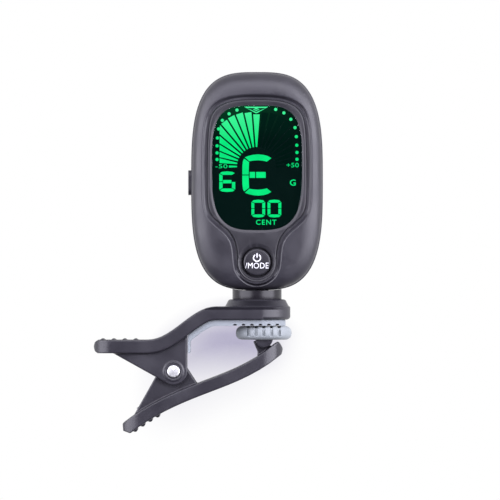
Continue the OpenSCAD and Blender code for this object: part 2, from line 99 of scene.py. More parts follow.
def spread(tree, value, low, high, at=(0.3, 0.7)):
    """Value mapped so that the two ends of at become low and high."""
    m = add_node(tree, "MapRange", {"From Min": at[0], "From Max": at[1],
                                    "To Min": low, "To Max": high})
    link(tree, value, m.inputs["Value"])
    return m.outputs["Result"]


def times(tree, a, b):
    """Product of two sockets."""
    product = add_node(tree, "Math")
    product.operation = "MULTIPLY"
    link(tree, a, product.inputs[0])
    link(tree, b, product.inputs[1])
    return product.outputs[0]


def mix_color(tree, factor, a, b):
    m = add_node(tree, "Mix")
    m.data_type = "RGBA"
    for socket, value in ((m.inputs[0], factor), (m.inputs[6], a), (m.inputs[7], b)):
        if isinstance(value, (int, float)):
            socket.default_value = value
        elif isinstance(value, tuple):
            socket.default_value = (*value, 1.0)
        else:
            link(tree, value, socket)
    return m.outputs[2]


def dot_product(tree, a, b=None):
    """Vector maths node with one or both of its vectors linked."""
    node = add_node(tree, "VectorMath")
    node.operation = "DOT_PRODUCT"
    link(tree, a, node.inputs[0])
    if b:
        link(tree, b, node.inputs[1])
    return node


def along(tree, vector, axis):
    """One coordinate of a vector socket."""
    split = add_node(tree, "SeparateXYZ")
    link(tree, vector, split.inputs["Vector"])
    return split.outputs[axis]


def mix_shaders(tree, factor, first, second):
    mix = add_node(tree, "MixShader")
    link(tree, factor, mix.inputs[0])
    link(tree, first, mix.inputs[1])
    link(tree, second, mix.inputs[2])
    return mix.outputs["Shader"]


GLANCING = (0.90, 0.975)


def surface(name, color, rough=0.5, metallic=0.0, grain=9000.0, grain_depth=0.02, coat=0.0,
            wear=0.15, wear_color=None, spread_rough=0.08, mottle=0.12, mottle_scale=260.0,
            sheen=0.0, specular=0.5, stretch=(1, 1, 1), pits=0.0, pit_scale=3000.0,
            collar=None):
    """Procedural finish: colour mottle, roughness drift, fine grain bump and worn edges.

    grain_depth and pits are depths in millimetres. The last argument is a pair of heights in
    metres
    for a band of painted shade: from the lower to the upper one, faces turned to the reader are
    painted darker and their reflection is dimmed, so the band shines only at a glance.
    """
    mat, tree, out = new_material(name)
    shader = add_node(tree, "BsdfPrincipled", {
        "Metallic": metallic, "Specular IOR Level": specular, "Sheen Weight": sheen,
        "Coat Weight": coat, "Coat Roughness": 0.1})
    coord = add_node(tree, "TexCoord")
    mapping = add_node(tree, "Mapping", {"Scale": stretch})
    link(tree, coord.outputs["Object"], mapping.inputs["Vector"])
    at = mapping.outputs["Vector"]
    broad = noise(tree, at, mottle_scale, 4.0)
    fine = noise(tree, at, grain, 2.0, 0.6)
    dark = tuple(c * (1 - mottle) for c in color)
    light = tuple(min(1.0, c * (1 + mottle)) for c in color)
    tint = mix_color(tree, spread(tree, broad, 0.0, 1.0), dark, light)
    if wear:
        geometry = add_node(tree, "NewGeometry")
        edge = spread(tree, geometry.outputs["Pointiness"], 0.0, wear, (0.52, 0.60))
        worn = wear_color or tuple(min(1.0, c * 2.2 + 0.02) for c in color)
        tint = mix_color(tree, edge, tint, worn)
    link(tree, tint, shader.inputs["Base Color"])
    link(tree, spread(tree, broad, rough - spread_rough, rough + spread_rough),
         shader.inputs["Roughness"])
    if not metallic:
        # Moulded grain hides its own highlights at a glancing angle
        facing = add_node(tree, "LayerWeight")
        level = spread(tree, facing.outputs["Facing"], specular, specular * 0.1, GLANCING)
        # Painted shade: in the band of heights, faces turned to the reader get half their colour
        # and a dimmer reflection, standing in for the shade under the head
        if collar:
            height = along(tree, coord.outputs["Object"], "Z")
            painted_shade_mask = times(tree, spread(tree, height, 0.0, 1.0, collar),
                            spread(tree, facing.outputs["Facing"], 1.0, 0.0, (0.12, 0.50)))
            level = times(tree, level, spread(tree, painted_shade_mask, 1.0, 0.06, (0.0, 1.0)))
            link(tree, mix_color(tree, painted_shade_mask, tint, tuple(c * 0.5 for c in color)),
                 shader.inputs["Base Color"])
        link(tree, level, shader.inputs["Specular IOR Level"])
    bump = add_node(tree, "Bump", {"Distance": grain_depth * MM})
    link(tree, fine, bump.inputs["Height"])
    normal = bump.outputs["Normal"]
    if pits:
        cells = add_node(tree, "TexVoronoi", {"Scale": pit_scale})
        link(tree, at, cells.inputs["Vector"])
        second = add_node(tree, "Bump", {"Distance": pits * MM})
        link(tree, cells.outputs["Distance"], second.inputs["Height"])
        link(tree, normal, second.inputs["Normal"])
        normal = second.outputs["Normal"]
    link(tree, normal, shader.inputs["Normal"])
    link(tree, shader.outputs["BSDF"], out.inputs["Surface"])
    return mat


def lens_material():
    """Dark tinted window: clear to what glows behind it, mirror-like at a glance."""
    mat, tree, out = new_material("lens_window")
    clear = add_node(tree, "BsdfTransparent")
    gloss = add_node(tree, "BsdfGlossy", {"Color": (0.75, 0.78, 0.8, 1.0)})
    fresnel = add_node(tree, "Fresnel", {"IOR": 1.38})
    coord = add_node(tree, "TexCoord")
    smear = noise(tree, coord.outputs["Object"], 180.0, 5.0)
    link(tree, mix_color(tree, smear, (0.80, 0.86, 0.82), (0.90, 0.94, 0.91)),
         clear.inputs["Color"])
    link(tree, spread(tree, smear, 0.05, 0.12), gloss.inputs["Roughness"])
    bump = add_node(tree, "Bump", {"Distance": 0.002 * MM})
    link(tree, noise(tree, coord.outputs["Object"], 700.0), bump.inputs["Height"])
    link(tree, bump.outputs["Normal"], gloss.inputs["Normal"])
    # Only the outer faces reflect, so light on its way out is never trapped in the window
    geometry = add_node(tree, "NewGeometry")
    outside = times(tree, fresnel.outputs["Fac"],
                    spread(tree, geometry.outputs["Backfacing"], 1.0, 0.0, (0.4, 0.6)))
    link(tree, mix_shaders(tree, outside, clear.outputs["BSDF"], gloss.outputs["BSDF"]),
         out.inputs["Surface"])
    return mat


def glow_material(name, low, high, strength):
    """Lit display segment, paler towards the top like a backlit filter seen from below."""
    mat, tree, out = new_material(name)
    light = add_node(tree, "Emission", {"Strength": strength})
    coord = add_node(tree, "TexCoord")
    height = spread(tree, along(tree, coord.outputs["Object"], "Z"), 0.0, 1.0,
                    (42 * MM, 49.5 * MM))
    patch = noise(tree, coord.outputs["Object"], 420.0, 3.0)
    dimmer = tuple(c * 0.86 for c in low)
    base = mix_color(tree, spread(tree, patch, 0.0, 1.0), dimmer, low)
    link(tree, mix_color(tree, height, base, high), light.inputs["Color"])
    link(tree, light.outputs["Emission"], out.inputs["Surface"])
    return mat


def panel_material():
    """Display ground: near black green, faintly lit towards its top and middle."""
    mat, tree, out = new_material("lcd_ground")
    shader = add_node(tree, "BsdfPrincipled", {
        "Base Color": (0.001, 0.002, 0.002, 1.0), "Roughness": 0.3,
        "Specular IOR Level": 0.05, "Emission Strength": 1.0})
    coord = add_node(tree, "TexCoord")
    height = spread(tree, along(tree, coord.outputs["Object"], "Z"), 0.0, 1.0,
                    (43 * MM, 50.5 * MM))
    side = spread(tree, along(tree, coord.outputs["Object"], "X"), 1.0, 0.25,
                  (-3 * MM, 6 * MM))
    cloud = noise(tree, coord.outputs["Object"], 150.0, 2.0)
    glow = mix_color(tree, times(tree, height, side), (0.0007, 0.0080, 0.0076),
                     (0.0011, 0.070, 0.024))
    glow = mix_color(tree, spread(tree, cloud, 0.75, 1.0), (0.0003, 0.004, 0.0038), glow)
    link(tree, glow, shader.inputs["Emission Color"])
    link(tree, shader.outputs["BSDF"], out.inputs["Surface"])
    return mat


def brushed(name, color, rough, stretch=(1, 1, 1)):
    """Metal with its grain drawn out along the axes that stretch leaves small."""
    return surface(name, color, rough, metallic=1.0, grain=5000.0, grain_depth=0.004,
                   stretch=stretch, mottle=0.06, wear=0.1, spread_rough=0.06)


def clip_plastic(name, **more):
    return surface(name, (0.0210, 0.0198, 0.0262), 0.38, grain=5200.0, grain_depth=0.006,
                   mottle_scale=140.0, wear=0.0, **more)


SHELL = surface("shell_plastic", (0.0225, 0.0212, 0.0280), 0.42, grain=7000.0, grain_depth=0.012,
                pits=0.010, pit_scale=4200.0, wear=0.0, specular=0.55)
CLIP = clip_plastic("clip_plastic")
# Clip plastic with a band of painted shade where the boss sits under the head
UPPER = clip_plastic("upper_clip_plastic", collar=(3.62 * MM, 3.78 * MM))
GLOSS = surface("neck_plastic", (0.010, 0.009, 0.012), 0.31, grain=2600.0, grain_depth=0.002,
                mottle_scale=120.0, wear=0.0, spread_rough=0.05, specular=0.36)
BEZEL = surface("bezel_plastic", (0.019, 0.018, 0.023), 0.42, grain=5000.0, grain_depth=0.004,
                wear=0.3)
KEY = surface("button_plastic", (0.013, 0.012, 0.017), 0.42, grain=6500.0, grain_depth=0.010,
              wear=0.2)
RUBBER = surface("grip_rubber", (0.222, 0.245, 0.268), 0.66, grain=4200.0, grain_depth=0.014,
                 mottle=0.07, mottle_scale=190.0, wear=0.12, wear_color=(0.34, 0.37, 0.40),
                 sheen=0.15)
PAD_RUBBER = surface("pad_rubber", (0.245, 0.268, 0.283), 0.62, grain=4200.0, grain_depth=0.014,
                     mottle=0.07, mottle_scale=210.0, wear=0.15,
                     wear_color=(0.40, 0.43, 0.44), sheen=0.15)
# Near black rubber: painted shade on the webs behind the cross grooves
GROOVE_SHADE = surface("groove_painted_shade", (0.05, 0.055, 0.065), 0.7, grain=4200.0, grain_depth=0.014,
                 mottle=0.07, mottle_scale=210.0, wear=0.0, specular=0.2)
STEEL = brushed("turned_steel", (0.55, 0.56, 0.58), 0.30, (1, 14, 1))
POLISHED = brushed("polished_steel", (0.87, 0.87, 0.89), 0.46)
SPRING = brushed("spring_wire", (0.44, 0.44, 0.46), 0.34, (6, 1, 6))
CELL = brushed("cell_can", (0.62, 0.63, 0.64), 0.27, (1, 1, 8))
BRASS = brushed("rolled_brass", (0.72, 0.52, 0.20), 0.36, (8, 1, 1))
CONTACT = brushed("plated_contact", (0.70, 0.60, 0.38), 0.30, (10, 1, 1))
BOARD = surface("solder_mask", (0.016, 0.12, 0.040), 0.35, grain=2600.0, grain_depth=0.01,
                coat=0.4, mottle=0.25, mottle_scale=420.0)
EPOXY = surface("epoxy_blob", (0.006, 0.006, 0.007), 0.22, grain=900.0, grain_depth=0.02)
FIRED = surface("fired_ceramic", (0.45, 0.33, 0.19), 0.55, mottle=0.2, mottle_scale=900.0)
PIEZO = surface("piezo_silver", (0.62, 0.60, 0.55), 0.48, mottle=0.16, mottle_scale=600.0)
SWITCH = surface("switch_housing", (0.014, 0.014, 0.016), 0.5)
RED = surface("plunger_red", (0.26, 0.035, 0.018), 0.5)
WHITE = surface("plunger_white", (0.75, 0.74, 0.70), 0.5)
WIRE = surface("wire_red", (0.42, 0.02, 0.015), 0.4)
ZEBRA = surface("zebra_rubber", (0.55, 0.16, 0.24), 0.6, mottle=0.35, mottle_scale=2600.0,
                stretch=(6, 1, 1))
MILK = surface("light_guide", (0.78, 0.84, 0.78), 0.4, mottle=0.05)
PANEL = panel_material()
PRINT = surface("white_print", (0.74, 0.74, 0.77), 0.5, grain=3000.0, grain_depth=0.004,
                mottle=0.04, wear=0.0)
LENS = lens_material()
LIT = glow_material("segment_lit", (0.004, 0.97, 0.27), (0.075, 1.0, 0.40), 1.18)
DIM = glow_material("segment_unlit", (0.0010, 0.0125, 0.0100), (0.0014, 0.020, 0.0135), 1.0)

# CAD nodes by finish; those that a piece below stands in for are hidden by it
for mat, nodes in (
        (CELL, "coin_cell"), (CONTACT, "contact_plus contact_minus"), (BRASS, "piezo_plate"),
        (STEEL, "crystal swivel_washer swivel_screw tilt_pin case_screws"),
        (PIEZO, "piezo_ceramic"), (BOARD, "circuit_board"), (EPOXY, "controller_chip"),
        (FIRED, "capacitors"), (SWITCH, "mode_switch side_switch"), (RED, "mode_plunger"),
        (WHITE, "side_plunger"), (WIRE, "piezo_leads"), (ZEBRA, "zebra_strip"),
        (MILK, "backlight"), (PANEL, "lcd_glass"), (LENS, "lens"), (BEZEL, "bezel"),
        (SHELL, "front_cover rear_cover battery_door side_button"), (KEY, "mode_button"),
        (CLIP, "upper_jaw lower_jaw pad_foot"), (GLOSS, "neck_post"), (SPRING, "jaw_spring"),
        (POLISHED, "pivot_pin"), (RUBBER, "upper_pad"), (PAD_RUBBER, "lower_pad")):
    for node in nodes.split():
        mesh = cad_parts[node].data
        mesh.materials.clear()
        mesh.materials.append(mat)

# ---------- mesh helpers ----------

WELD = 1e-4
FLAT = 11


def add_mesh(name, verts, faces, mat, body, replaces=(), sharp=32.0):
    """Piece from corners in millimetres, with outward faces, shaded smooth below sharp degrees."""
    mesh = bpy.data.meshes.new(name)
    mesh.from_pydata([tuple(float(c) * MM for c in v) for v in verts], [], faces)
    bm = bmesh.new()
    bm.from_mesh(mesh)
    bmesh.ops.remove_doubles(bm, verts=bm.verts, dist=WELD * MM)
    bmesh.ops.recalc_face_normals(bm, faces=bm.faces)
    bm.to_mesh(mesh)
    bm.free()
    return place(name, mesh, mat, body, replaces, sharp)


def place(name, mesh, mat, body, replaces, sharp):
    """Object on a CAD body; sharp 0 keeps the shading that the mesh already has."""
    mesh.materials.clear()
    mesh.materials.append(mat)
    if sharp:
        mesh.shade_smooth()
        mesh.set_sharp_from_angle(angle=math.radians(sharp))
    obj = bpy.data.objects.new(name, mesh)
    scene.collection.objects.link(obj)
    if body:
        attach(obj, body)
    if replaces:
        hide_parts(*replaces)
    return obj


def loft(rings, cap_start=False, cap_end=False, wrap=False):
    """Quads through rings of equal length; wrap joins the last ring to the first."""
    n, m = len(rings[0]), len(rings)
    verts = [p for ring in rings for p in ring]
    faces = []
    for j in range(m if wrap else m - 1):
        k = (j + 1) % m
        for i in range(n):
            i2 = (i + 1) % n
            faces.append((j * n + i, j * n + i2, k * n + i2, k * n + i))
    if cap_start:
        faces.append(tuple(range(n)))
    if cap_end:
        faces.append(tuple((m - 1) * n + i for i in range(n)))
    return verts, faces


def join(parts):
    """One vertex and face list from several."""
    verts, faces = [], []
    for v, f in parts:
        base = len(verts)
        verts += list(v)
        faces += [tuple(i + base for i in face) for face in f]
    return verts, faces


def cad_mesh(node):
    """Copy of a CAD node's mesh in millimetres, its coincident corners joined."""
    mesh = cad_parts[node].data.copy()
    mesh.transform(Matrix.Scale(1 / MM, 4))
    bm = bmesh.new()
    bm.from_mesh(mesh)
    bmesh.ops.remove_doubles(bm, verts=bm.verts, dist=WELD)
    bm.to_mesh(mesh)
    bm.free()
    return mesh


def evaluated(mesh, *modifiers):
    """mesh after the modifiers, each (type, {setting: value})."""
    obj = bpy.data.objects.new("work", mesh)
    scene.collection.objects.link(obj)
    for kind, settings in modifiers:
        mod = obj.modifiers.new(kind, kind)
        for key, value in settings.items():
            setattr(mod, key, value)
    result = bpy.data.meshes.new_from_object(
        obj.evaluated_get(bpy.context.evaluated_depsgraph_get()))
    bpy.data.objects.remove(obj)
    return result


def true_up(mesh, direction, limit):
    """Shading of faces within limit degrees of direction(corners) set to it exactly."""
    count = len(mesh.loops)
    corners = np.empty(count, int)
    mesh.loops.foreach_get("vertex_index", corners)
    normals = np.empty(count * 3)
    mesh.corner_normals.foreach_get("vector", normals)
    normals = normals.reshape(-1, 3)
    co = np.empty(len(mesh.vertices) * 3)
    mesh.vertices.foreach_get("co", co)
    face_normals = np.empty(len(mesh.polygons) * 3)
    mesh.polygons.foreach_get("normal", face_normals)
    totals = np.empty(len(mesh.polygons), int)
    mesh.polygons.foreach_get("loop_total", totals)
    of_face = np.repeat(face_normals.reshape(-1, 3), totals, axis=0)
    wanted = direction(co.reshape(-1, 3))[corners]
    close = (of_face * wanted).sum(1) > math.cos(math.radians(limit))
    normals[close] = wanted[close]
    mesh.normals_split_custom_set([tuple(map(float, n)) for n in normals])


def soft_skin(node, mat, body, voxel, passes, keep, level=None):
    """The CAD node with its moulded edges rounded over, standing in for it.

    keep is the share of faces kept. Faces within FLAT degrees of the direction level, or of
    its opposite, are shaded as one flat.
    """
    mesh = evaluated(
        cad_mesh(node),
        ("REMESH", {"mode": "VOXEL", "voxel_size": voxel, "use_smooth_shade": True}),
        ("SMOOTH", {"factor": 0.5, "iterations": passes}),
        ("DECIMATE", {"ratio": keep}))
    mesh.transform(Matrix.Scale(MM, 4))
    if level:
        mesh.shade_smooth()
        for way in (1.0, -1.0):
            true_up(mesh, lambda co: np.tile(level, (len(co), 1)) * way, FLAT)
    place(node + "_skin", mesh, mat, body, (node,), 0 if level else 60.0)


def revolve(profile, center, steps=96):
    """Closed ring surface: profile of (radius, y) turned about Y through center (x, z)."""
    angles = np.linspace(0, 2 * math.pi, steps, endpoint=False)
    rings = [[(center[0] + r * math.cos(a), y, center[1] + r * math.sin(a)) for a in angles]
             for r, y in profile]
    return loft(rings, cap_start=profile[0][0] > 0, cap_end=profile[-1][0] > 0)


def arc(cx, cy, r, a0, a1, steps):
    """Points round a circle from a0 to a1 degrees."""
    return [(cx + r * math.cos(math.radians(a)), cy + r * math.sin(math.radians(a)))
            for a in np.linspace(a0, a1, steps)]


def quarter(steps):
    """Sine and cosine at even steps through a quarter turn."""
    return [(math.sin(math.radians(a)), math.cos(math.radians(a)))
            for a in np.linspace(0, 90, steps)]


# ---------- outlines of the head ----------

HEAD_Z = 33.2
HEAD_HALF, HEAD_UP, HEAD_DOWN = 15.05, 24.7, 25.1
HUB = np.array((0.0, 27.0))
LOOP_N = 360
DENSE_N = 3000
FACE_Y, CROWN_ACROSS, CROWN_ALONG = -6.5, 220, 600


def superellipse(half, up, down, zc, p_up, p_down):
    """Loop half wide each side, up above zc and down below it, squarer for larger powers."""
    a = np.linspace(0, 2 * math.pi, DENSE_N, endpoint=False)
    c, s = np.cos(a), np.sin(a)
    p = np.where(s >= 0, p_up, p_down)
    x = half * np.sign(c) * np.abs(c) ** (2 / p)
    z = zc + np.where(s >= 0, up, down) * np.sign(s) * np.abs(s) ** (2 / p)
    return np.stack((x, z), 1)


def resample(loop, n):
    """n points evenly spaced along a closed loop."""
    closed = np.vstack((loop, loop[:1]))
    d = np.concatenate(([0], np.cumsum(np.linalg.norm(np.diff(closed, axis=0), axis=1))))
    t = np.linspace(0, d[-1], n, endpoint=False)
    return np.stack([np.interp(t, d, closed[:, k]) for k in (0, 1)], 1)


def inward_normals(loop):
    """Unit normals of an anticlockwise loop, pointing into it."""
    t = np.roll(loop, -1, 0) - np.roll(loop, 1, 0)
    t /= np.linalg.norm(t, axis=1)[:, None]
    return np.stack((-t[:, 1], t[:, 0]), 1)


def inward(loop, d):
    """Anticlockwise loop moved inwards by d along its normals."""
    return loop + d * inward_normals(loop)


def at_angles(loop, angles):
    """Points of a loop at given polar angles about HUB."""
    turn = 2 * math.pi
    d = loop - HUB
    a = np.mod(np.arctan2(d[:, 1], d[:, 0]), turn)
    order = np.argsort(a)
    a, r = a[order], np.linalg.norm(d, axis=1)[order]
    # A few points more at each end, so the search can cross the seam
    a = np.concatenate((a[-3:] - turn, a, a[:3] + turn))
    r = np.concatenate((r[-3:], r, r[:3]))
    want = np.mod(angles, turn)
    r = np.interp(want, a, r)
    return HUB + np.stack((r * np.cos(want), r * np.sin(want)), 1)


def smooth_half(points, n=40):
    """Catmull-Rom through half an outline, top centre to bottom centre, then mirrored."""
    p = np.array(points, float)
    left = p[1:-1][::-1] * (-1, 1)
    ring = np.vstack((p, left))
    out = []
    m = len(ring)
    for i in range(m):
        a, b, c, d = (ring[(i + k - 1) % m] for k in range(4))
        for t in np.linspace(0, 1, n, endpoint=False):
            out.append(0.5 * ((2 * b) + (c - a) * t + (2 * a - 5 * b + 4 * c - d) * t ** 2
                              + (3 * b - a - 3 * c + d) * t ** 3))
    return np.array(out)[::-1]


MODE = (0.0, 14.5)
LOBE_R = 5.2
KEY_POINTS = [(0, 52.5), (3.2, 52.42), (6.2, 52.0), (8.6, 51.1), (10.3, 49.7), (11.35, 47.8),
              (11.9, 45.2), (12.15, 41.5), (12.25, 37), (12.25, 32.5), (12.2, 29.2),
              (11.9, 26.7), (11.0, 24.55), (9.2, 22.75), (7.3, 21.1), (6.0, 19.2),
              (5.45, 17.0)] + [(LOBE_R * math.cos(math.radians(a)) + (0.02 if a > -20 else 0),
                                MODE[1] + LOBE_R * math.sin(math.radians(a)))
                               for a in (0, -22, -45, -68)] + [(0, MODE[1] - LOBE_R)]

keyhole = resample(smooth_half(KEY_POINTS), LOOP_N)
key_angles = np.arctan2(keyhole[:, 1] - HUB[1], keyhole[:, 0] - HUB[0])
head_dense = superellipse(HEAD_HALF, HEAD_UP, HEAD_DOWN, HEAD_Z, 3.2, 3.25)
head_dense = resample(head_dense, DENSE_N)
LENS_HALF, LENS_RISE, LENS_Z = 10.3, 14.2, 36.0
lens_loop = resample(superellipse(LENS_HALF, LENS_RISE, LENS_RISE, LENS_Z, 3.6, 3.2), 240)


def head_ring(inset):
    """Outline of the head, its points at the same angles about HUB as the keyhole's."""
    return at_angles(inward(head_dense, inset), key_angles)


def key_ring(inset):
    """Outline of the keyhole-shaped surround."""
    return inward(keyhole, inset)


def crown(p):
    """Y of the softly domed face."""
    return FACE_Y + p[:, 0] ** 2 / CROWN_ACROSS + (p[:, 1] - HEAD_Z) ** 2 / CROWN_ALONG


def ring3(p, y):
    """Loop in X and Z given depth y, a number or one for each point."""
    y = np.broadcast_to(y, (len(p),))
    return [(p[i, 0], y[i], p[i, 1]) for i in range(len(p))]


# ---------- head shells ----------

SEAM = -1.4
EDGE_W, EDGE_H, EDGE_P = 4.6, 3.0, 2.4
COVER_INSET, COVER_WALL, COVER_BACK = 0.28, 1.85, -4.30
LEDGE_Y = -4.90
LIP_R = 0.38
# How far in from the edge each ring of the face stands
FACE_STEPS = (0.0, 0.01, 0.03, 0.07, 0.13, 0.22, 0.34, 0.5, 0.7, 1.0, 1.4, 1.9, 2.5, 3.2, 3.9,
              4.6, 5.6)


def face_y(p, d):
    """Y of the face at points p, d in from the cover's edge."""
    t = 1 - np.clip(d / EDGE_W, 0, 1)
    return crown(p) + EDGE_H * (1 - (1 - t ** EDGE_P) ** (1 / EDGE_P))


def front_cover():
    rings = []
    # Seam edge and side wall
    start = head_ring(COVER_INSET)
    rings.append(ring3(head_ring(COVER_WALL), SEAM - 0.02))
    rings.append(ring3(head_ring(COVER_INSET + 0.12), SEAM - 0.02))
    rings.append(ring3(head_ring(COVER_INSET + 0.03), SEAM - 0.06))
    rings.append(ring3(start, SEAM - 0.16))
    # Shoulder rolling softly on to the crowned face
    lip = key_ring(-LIP_R)
    reach = np.linalg.norm(lip - start, axis=1)
    for i, d in enumerate(FACE_STEPS):
        share = np.minimum(d, reach * (i + 1) / (len(FACE_STEPS) + 1)) if d else reach * 0
        p = start + (lip - start) * (share / reach)[:, None]
        rings.append(ring3(p, face_y(p, share)))
    for s, c in quarter(7):
        p = key_ring(-LIP_R * (1 - s))
        rings.append(ring3(p, face_y(lip, reach) + LIP_R * (1 - c)))
    # Recess wall, ledge and the opening behind it
    rings.append(ring3(key_ring(0.30), LEDGE_Y - 0.12))
    rings.append(ring3(key_ring(0.42), LEDGE_Y))
    rings.append(ring3(key_ring(0.90), LEDGE_Y + 0.02))
    rings.append(ring3(key_ring(0.93), COVER_BACK))
    rings.append(ring3(head_ring(COVER_WALL), COVER_BACK))
    verts, faces = loft(rings, wrap=True)
    add_mesh("front_cover_shell", verts, faces, SHELL, "head", ("front_cover",), 40)


BACK = 6.8
SIDE_ROUND, TILT_ROUND = 2.0, 3.8
TILT_Z, TILT_BLEND = 16.0, 6.0
CUT_ANGLE, FORM_ANGLE = 30, 35


def rear_shell():
    """Rounded outer form, cut to the CAD cover so its recesses and bores stay true."""
    base = resample(head_dense, LOOP_N)
    # The back edge is rounder low down, where the head tilts past the clip
    low = np.clip((TILT_Z - base[:, 1]) / TILT_BLEND, 0, 1)
    radius = SIDE_ROUND + (TILT_ROUND - SIDE_ROUND) * low * low * (3 - 2 * low)
    normal = inward_normals(base)
    skin = 0.03
    back = BACK + 0.01
    rings = [ring3(base + normal * 0.20, SEAM + 0.07), ring3(base + normal * 0.08, SEAM + 0.10),
             ring3(base + normal * skin, SEAM + 0.2), ring3(base + normal * skin, 1.5)]
    for s, c in quarter(14):
        depth = skin + (radius - skin) * (1 - c)
        rings.append(ring3(base + normal * depth[:, None], back - radius * (1 - s)))
    verts, faces = loft(rings, cap_start=True, cap_end=True)
    mesh = bpy.data.meshes.new("rear_form")
    mesh.from_pydata([tuple(map(float, v)) for v in verts], [], faces)
    bm = bmesh.new()
    bm.from_mesh(mesh)
    bmesh.ops.recalc_face_normals(bm, faces=bm.faces)
    bm.to_mesh(mesh)
    bm.free()
    cutter = bpy.data.objects.new("cad_copy", cad_mesh("rear_cover"))
    scene.collection.objects.link(cutter)
    result = evaluated(mesh, ("BOOLEAN", {"operation": "INTERSECT", "solver": "EXACT",
                                          "object": cutter}))
    bpy.data.objects.remove(cutter)

    def smooth(co):
        """Outward direction of the rounded form at points on it."""
        flat = co[:, [0, 2]]
        near = np.array([np.argmin(((base - q) ** 2).sum(1)) for q in flat])
        out2, r = normal[near], radius[near]
        depth = -((flat - base[near]) * out2).sum(1)
        rise = np.clip(1 - (back - co[:, 1]) / r, 0, 1)
        rise[depth > r - 0.05] = 1.0
        level = np.sqrt(1 - rise ** 2)
        return np.stack((out2[:, 0] * level, rise, out2[:, 1] * level), 1)

    # Cut edges stay sharp and the form itself is shaded as if it were exactly round
    result.shade_smooth()
    bm = bmesh.new()
    bm.from_mesh(result)
    bm.normal_update()
    for edge in bm.edges:
        edge.smooth = edge.calc_face_angle(0.0) < math.radians(CUT_ANGLE)
    bm.to_mesh(result)
    bm.free()
    true_up(result, smooth, FORM_ANGLE)
    result.transform(Matrix.Scale(MM, 4))
    place("rear_cover_shell", result, SHELL, "head", ("rear_cover",), 0)


front_cover()
rear_shell()

# ---------- display surround ----------

BEZEL_Y, BEZEL_BACK = -5.3, -4.15
DISH = 0.18
LENS_BACK, LENS_GAP, LENS_EASE = -4.2, 0.04, 0.12
SINK_R, HOLE_R = 4.32, 3.48


def circle_loop(center, r):
    a = np.linspace(0, 2 * math.pi, 120, endpoint=False)
    return np.stack((center[0] + r * np.cos(a), center[1] + r * np.sin(a)), 1)


def flat_with_holes(outer, holes, y):
    """Flat face between an outer loop and its holes, as triangles."""
    loops = [outer] + holes
    points = [tuple(map(float, p)) for loop in loops for p in loop]
    edges, base = [], 0
    for loop in loops:
        n = len(loop)
        edges += [(base + i, base + (i + 1) % n) for i in range(n)]
        base += n
    out, _, tris, *_ = delaunay_2d_cdt([Vector(p) for p in points], edges, [], 0, 1e-5)
    keep = []
    for tri in tris:
        c = sum((np.array(out[i]) for i in tri), np.zeros(2)) / 3
        if within(c, outer) and not any(within(c, h) for h in holes):
            keep.append(tuple(tri))
    return [(p[0], y, p[1]) for p in out], keep


def within(p, loop):
    """Whether a point is inside a loop, by the crossings of a line to its right."""
    x, z = loop[:, 0], loop[:, 1]
    x2, z2 = np.roll(x, -1), np.roll(z, -1)
    cross = ((z > p[1]) != (z2 > p[1])) & (p[0] < (x2 - x) * (p[1] - z) / (z2 - z + 1e-15) + x)
    return int(cross.sum()) % 2 == 1


def bezel():
    crest = key_ring(1.30)
    window = resample(superellipse(LENS_HALF + 0.55, LENS_RISE + 0.95, LENS_RISE + 0.75,
                                   LENS_Z, 3.5, 3.2), 240)
    sink = circle_loop(MODE, SINK_R)
    parts = [flat_with_holes(crest, [window, sink], BEZEL_Y)]
    # Outer edge eased, edge of the window dished, edge of the button's hole sunk
    parts.append(loft([ring3(key_ring(0.97), BEZEL_BACK)]
                      + [ring3(key_ring(0.97 + 0.33 * (1 - c)), BEZEL_Y + 0.30 * (1 - s))
                         for s, c in quarter(7)]))
    rim = inward(lens_loop, -0.01)
    dish = [(0.0, 0.0), (0.12, 0.02), (0.3, 0.09), (0.75, 0.80), (1.0, 1.0)]
    parts.append(loft([ring3(window * (1 - t) + rim * t, BEZEL_Y + DISH * d) for t, d in dish]
                      + [ring3(rim, BEZEL_BACK)]))
    profile = [(SINK_R, 0.0), (SINK_R - 0.07, 0.02), (SINK_R - 0.14, 0.06),
               (HOLE_R + 0.06, 0.32), (HOLE_R + 0.02, 0.36), (HOLE_R, 0.44),
               (HOLE_R, BEZEL_BACK - BEZEL_Y)]
    parts.append(loft([ring3(circle_loop(MODE, r), BEZEL_Y + y) for r, y in profile]))
    parts.append(flat_with_holes(key_ring(0.97), [rim, circle_loop(MODE, HOLE_R)], BEZEL_BACK))
    verts, faces = join(parts)
    add_mesh("bezel_surround", verts, faces, BEZEL, "head", ("bezel",), 25)


def lens():
    front = BEZEL_Y + DISH
    edge = inward(lens_loop, LENS_GAP)
    rings = [ring3(edge, LENS_BACK), ring3(edge, front + LENS_EASE)]
    rings += [ring3(inward(lens_loop, LENS_GAP + LENS_EASE * (1 - c)),
                    front + LENS_EASE * (1 - s)) for s, c in quarter(5)]
    verts, faces = loft(rings, cap_start=True, cap_end=True)
    add_mesh("lens_window", verts, faces, LENS, "head", ("lens",), 30)


bezel()
lens()

# ---------- display picture ----------

PICTURE_Y = -4.11
PICTURE_T = 0.05
FAN = (-0.12, 36.3)
FAN_IN, FAN_SIDE, FAN_PITCH = 4.45, 8.42, 9.0
FAN_OUT = (11.9, 12.45, 12.7, 12.75, 12.6, 12.6, 12.6, 12.6, 12.6, 12.6)
LAST_BAR = (6.3, 5.4, 0.05)


def prism(outline, y0, y1):
    """Thin closed plate from an outline of (x, z)."""
    n = len(outline)
    verts = [(x, y0, z) for x, z in outline] + [(x, y1, z) for x, z in outline]
    faces = [tuple(range(n)), tuple(range(2 * n - 1, n - 1, -1))]
    faces += [(i, (i + 1) % n, n + (i + 1) % n, n + i) for i in range(n)]
    return verts, faces


def plate(outline):
    return prism(outline, PICTURE_Y, PICTURE_Y + PICTURE_T)


